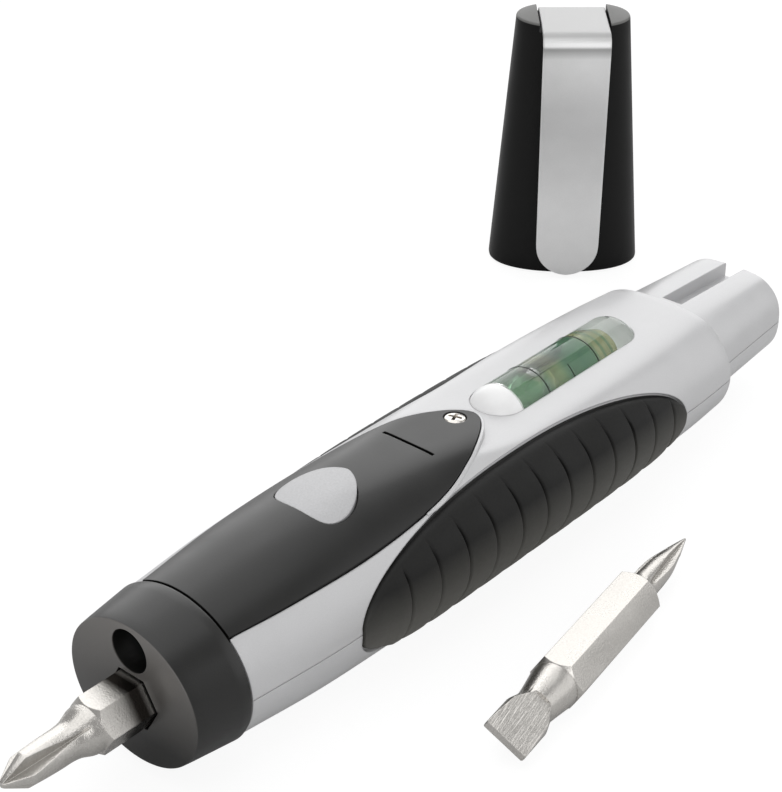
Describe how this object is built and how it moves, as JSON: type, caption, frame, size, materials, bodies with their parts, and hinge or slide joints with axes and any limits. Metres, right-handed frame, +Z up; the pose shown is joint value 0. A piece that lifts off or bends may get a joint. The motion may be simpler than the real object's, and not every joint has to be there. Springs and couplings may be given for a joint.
{
  "type": "multi tool pen",
  "caption": "Pen-shaped torch and bit driver with a spirit level, ribbed grips, a screwed battery cover, a loose clip cap and a spare double-ended bit.",
  "frame": {"origin": "middle of the pen's flat underside, on the surface it stands on", "axes": "+X from the nose to the tail of the pen, +Z up, level vial and battery cover on top"},
  "size_m": [0.1668, 0.0876, 0.0426],
  "materials": {
    "nose_collar": "fine satin black",
    "lower_shell": "satin silver paint",
    "upper_shell": "satin silver paint",
    "battery_cover": "satin black",
    "cover_screw": "bright nickel",
    "switch_button": "satin silver paint",
    "left_grip": "matte",
    "right_grip": "matte",
    "led": "clear lens",
    "bit_socket": "machined",
    "socket_magnet": "ground",
    "circuit_board": "solder resist",
    "push_switch": "moulded",
    "switch_plunger": "moulded",
    "button_cell_1": "bright",
    "button_cell_2": "bright",
    "button_cell_3": "bright",
    "battery_contact_front": "plated",
    "battery_contact_rear": "plated",
    "vial_tube": "clear, polished",
    "vial_liquid": "green liquid",
    "vial_plug": "white",
    "driver_bit": "bright nickel",
    "cap_shell": "satin black",
    "pocket_clip": "satin silver",
    "spare_bit": "bright nickel"
  },
  "bodies": {
    "pen_body": {"nose_collar": "nose_collar", "lower_shell": "lower_shell", "upper_shell": "upper_shell", "left_grip": "left_grip", "right_grip": "right_grip", "led": "led", "bit_socket": "bit_socket", "socket_magnet": "socket_magnet", "circuit_board": "circuit_board", "push_switch": "push_switch", "button_cell_1": "button_cell_1", "button_cell_2": "button_cell_2", "button_cell_3": "button_cell_3", "battery_contact_front": "battery_contact_front", "battery_contact_rear": "battery_contact_rear", "vial_tube": "vial_tube", "vial_liquid": "vial_liquid", "vial_plug": "vial_plug"},
    "cover": {"battery_cover": "battery_cover", "cover_screw": "cover_screw"},
    "button": {"switch_button": "switch_button"},
    "plunger": {"switch_plunger": "switch_plunger"},
    "bit": {"driver_bit": "driver_bit"},
    "cap": {"cap_shell": "cap_shell"},
    "clip": {"pocket_clip": "pocket_clip"},
    "spare": {"spare_bit": "spare_bit"}
  },
  "joints": [
    {"name": "cover_lift", "type": "slide", "parent": "pen_body", "child": "cover", "axis": [0.0567, 0, 0.9984], "range_m": [0, 0.025]},
    {"name": "button_press", "type": "slide", "parent": "cover", "child": "button", "axis": [0, 0, -1], "range_m": [0, 0.0007], "stiffness_N_per_m": 300},
    {"name": "plunger_press", "type": "slide", "parent": "pen_body", "child": "plunger", "axis": [0, 0, -1], "range_m": [0, 0.0007]},
    {"name": "bit_pull", "type": "slide", "parent": "pen_body", "child": "bit", "axis": [-1, 0, 0], "range_m": [0, 0.03]},
    {"name": "cap_lift", "type": "slide", "parent": "pen_body", "child": "cap", "axis": [0, 0, 1], "range_m": [0, 0.03]},
    {"name": "clip_flex", "type": "hinge", "parent": "cap", "child": "clip", "pos_m": [0.08684, 0.04427, 0.042], "axis": [-0.6561, 0.7547, 0], "range_deg": [0, 5], "stiffness_Nm_per_rad": 2},
    {"name": "spare_lift", "type": "slide", "parent": "pen_body", "child": "spare", "axis": [0, 0, 1], "range_m": [0, 0.03]}
  ],
  "couplings": [
    {"joint": "plunger_press", "follows": "button_press", "ratio": 1}
  ]
}
